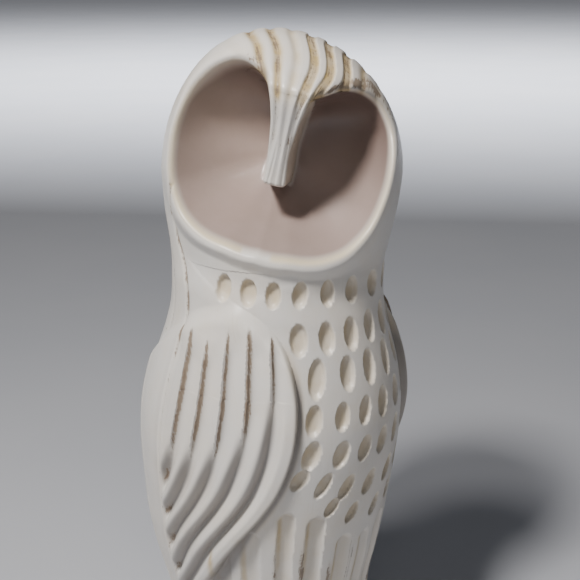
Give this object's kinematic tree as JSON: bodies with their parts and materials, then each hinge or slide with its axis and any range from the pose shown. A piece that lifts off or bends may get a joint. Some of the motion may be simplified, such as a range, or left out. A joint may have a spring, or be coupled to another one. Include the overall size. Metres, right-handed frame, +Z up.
{
  "type": "owl figurine",
  "caption": "Tall barn owl figurine with a deep heart-shaped face dish, brow ridge running down to a blunt beak, dimpled breast and grooved wings.",
  "frame": {"origin": "centre of the resting face under the felt", "axes": "+Z up, the face looks along -Y, the breast is turned 56 degrees from -Y toward +X"},
  "size_m": [0.135, 0.1371, 0.34],
  "materials": {
    "ivory_glaze": "satin",
    "taupe_glaze": "satin",
    "bisque": "matte",
    "felt": "matte"
  },
  "bodies": {
    "root": {"trunk": "ivory_glaze", "head": "ivory_glaze", "face_dish": "taupe_glaze", "brow_beak": "ivory_glaze", "wing_right": "ivory_glaze", "wing_left": "ivory_glaze", "tail": "ivory_glaze", "base_disc": "bisque", "felt_base": "felt"}
  },
  "joints": []
}
